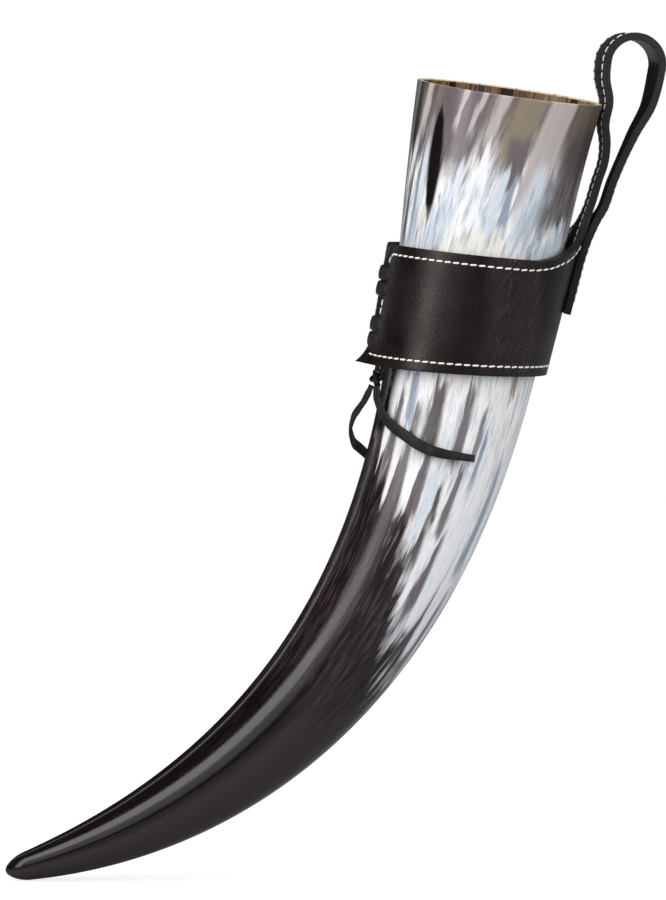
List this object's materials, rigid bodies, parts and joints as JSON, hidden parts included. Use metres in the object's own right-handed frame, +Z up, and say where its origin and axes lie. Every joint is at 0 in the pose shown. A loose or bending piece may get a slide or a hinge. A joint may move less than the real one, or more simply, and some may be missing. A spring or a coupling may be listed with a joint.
{
  "type": "drinking horn in a belt frog",
  "caption": "Polished curved drinking horn, hollow and open at the mouth, carried in a laced leather frog with a belt loop.",
  "frame": {"origin": "middle of the belt loop, on the belt's own line and level with the centre of the loop's round top", "axes": "+Z up as the horn hangs, +X away from the tip in the plane the horn bends in, +Y through the belt loop to the back"},
  "size_m": [0.2689, 0.0774, 0.3459],
  "materials": {
    "horn": "polished",
    "leather": "satin",
    "lining": "matte",
    "thread": "matte",
    "lace": "matte"
  },
  "bodies": {
    "frog": {"frog_leather": "leather", "frog_lining": "lining", "thread_top_front": "thread", "thread_top_back": "thread", "thread_bottom": "thread", "thread_seam_front": "thread", "thread_seam_back": "thread", "thread_strap_front": "thread", "thread_strap_back": "thread", "lace": "lace", "lace_knot": "lace", "lace_tail_front": "lace", "lace_tail_back": "lace"},
    "horn": {"horn": "horn"}
  },
  "joints": [
    {"name": "horn_draw", "type": "hinge", "parent": "frog", "child": "horn", "pos_m": [-0.3658, -0.00845, -0.0543], "axis": [0, -1, 0], "range_deg": [0, 75]}
  ]
}
